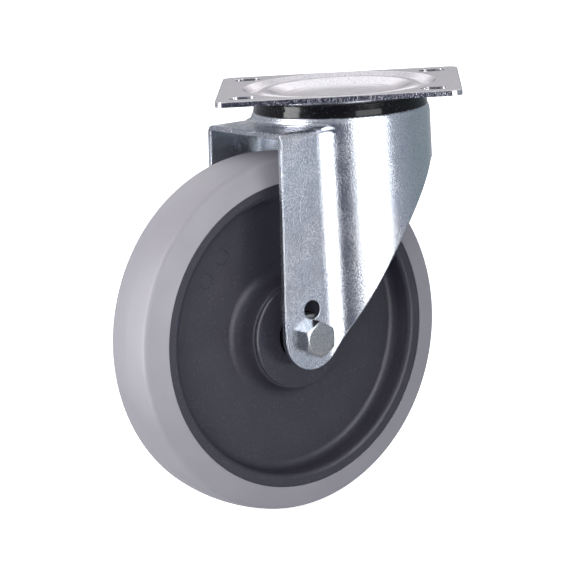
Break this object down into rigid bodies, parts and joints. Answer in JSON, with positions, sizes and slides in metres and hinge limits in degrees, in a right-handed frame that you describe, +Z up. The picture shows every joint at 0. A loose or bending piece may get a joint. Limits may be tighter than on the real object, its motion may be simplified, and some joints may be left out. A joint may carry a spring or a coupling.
{
  "type": "swivel plate castor wheel",
  "caption": "Swivel plate castor: pressed zinc-plated fork on a ball race under a slotted top plate, with a plastic wheel and soft grey rubber tyre on a bolted axle.",
  "frame": {"origin": "centre of the top plate's upper face, on the swivel axis", "axes": "+Z up along the swivel axis, X along the plate's long side, Y along its short side; at rest the fork is turned 37.28 degrees about +Z, and the wheel trails towards -X"},
  "size_m": [0.1968, 0.1589, 0.2318],
  "materials": {
    "zinc_steel": "blue-passivated zinc plate on pressed steel sheet, fine crystalline grain",
    "zinc_fastener": "bright zinc plate on a forged fastener",
    "bearing_steel": "ground and hardened steel",
    "plain_steel": "drawn tube, turned ends",
    "black_plastic": "moulded, smooth gloss",
    "core_plastic": "dark grey moulded polypropylene, satin",
    "guard_plastic": "dark grey moulded polypropylene, satin",
    "tyre_rubber": "light grey thermoplastic rubber, smooth matt",
    "black_rubber": "bearing seal rubber",
    "nylon": "translucent white nylon"
  },
  "bodies": {
    "plate": {"top_plate": "zinc_steel", "kingpin": "zinc_fastener", "kingpin_nut": "zinc_fastener", "lower_race_cup": "zinc_steel"},
    "upper_race": {"upper_race_balls": "bearing_steel"},
    "lower_race": {"lower_race_balls": "bearing_steel"},
    "fork": {"swivel_fork": "zinc_steel", "dust_seal": "black_plastic", "axle_bolt": "zinc_fastener", "axle_nut": "zinc_fastener", "nut_locking_ring": "nylon", "axle_tube": "plain_steel", "centre_spacer": "plain_steel", "end_spacer_near": "plain_steel", "end_spacer_far": "plain_steel", "bearing_inner_ring_near": "bearing_steel", "bearing_inner_ring_far": "bearing_steel"},
    "wheel": {"wheel_core": "core_plastic", "tyre": "tyre_rubber", "thread_guard_near": "guard_plastic", "thread_guard_far": "guard_plastic", "bearing_outer_ring_near": "bearing_steel", "bearing_outer_ring_far": "bearing_steel", "bearing_shields_near": "black_rubber", "bearing_shields_far": "black_rubber"},
    "bearing_set_near": {"bearing_balls_near": "bearing_steel", "bearing_cage_near": "plain_steel"},
    "bearing_set_far": {"bearing_balls_far": "bearing_steel", "bearing_cage_far": "plain_steel"}
  },
  "joints": [
    {"name": "swivel", "type": "hinge", "parent": "plate", "child": "fork", "pos_m": [0, 0, 0], "axis": [0, 0, 1], "continuous": true},
    {"name": "upper_race_roll", "type": "hinge", "parent": "plate", "child": "upper_race", "pos_m": [0, 0, 0], "axis": [0, 0, 1], "continuous": true},
    {"name": "lower_race_roll", "type": "hinge", "parent": "plate", "child": "lower_race", "pos_m": [0, 0, 0], "axis": [0, 0, 1], "continuous": true},
    {"name": "wheel_spin", "type": "hinge", "parent": "fork", "child": "wheel", "pos_m": [-0.04165, -0.03171, -0.13176], "axis": [-0.6057, 0.7957, 0], "continuous": true},
    {"name": "bearing_roll_near", "type": "hinge", "parent": "fork", "child": "bearing_set_near", "pos_m": [-0.04165, -0.03171, -0.13176], "axis": [-0.6057, 0.7957, 0], "continuous": true},
    {"name": "bearing_roll_far", "type": "hinge", "parent": "fork", "child": "bearing_set_far", "pos_m": [-0.04165, -0.03171, -0.13176], "axis": [-0.6057, 0.7957, 0], "continuous": true}
  ],
  "couplings": [
    {"joint": "upper_race_roll", "follows": "swivel", "ratio": 0.5},
    {"joint": "lower_race_roll", "follows": "swivel", "ratio": 0.5},
    {"joint": "bearing_roll_near", "follows": "wheel_spin", "ratio": 0.618},
    {"joint": "bearing_roll_far", "follows": "wheel_spin", "ratio": 0.618}
  ]
}
